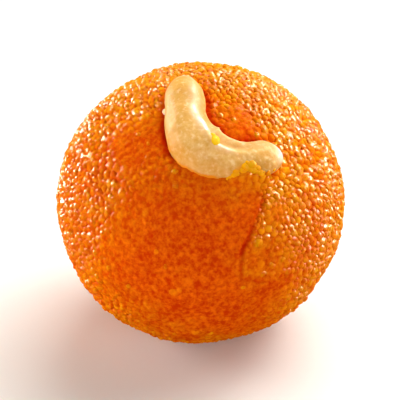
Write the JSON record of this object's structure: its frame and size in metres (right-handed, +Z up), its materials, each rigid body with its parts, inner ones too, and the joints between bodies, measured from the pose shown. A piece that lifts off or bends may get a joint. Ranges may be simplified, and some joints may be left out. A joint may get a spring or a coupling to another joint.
{
  "type": "motichoor ladoo",
  "caption": "Ball-shaped sweet of fine syrup-soaked boondi pearls, with a curved cashew kernel pressed into its crown.",
  "frame": {"origin": "middle of the small flat spot that the ladoo stands on", "axes": "+Z up; -Y towards the front, where the cashew's right arm lies; +X to the right"},
  "size_m": [0.0498, 0.0496, 0.0497],
  "materials": {
    "boondi": "syrup-soaked fried boondi pearls, moist and glossy on their crowns",
    "cashew": "ivory nut kernel with a faint sheen"
  },
  "bodies": {
    "root": {"ladoo": "boondi", "cashew": "cashew"}
  },
  "joints": []
}
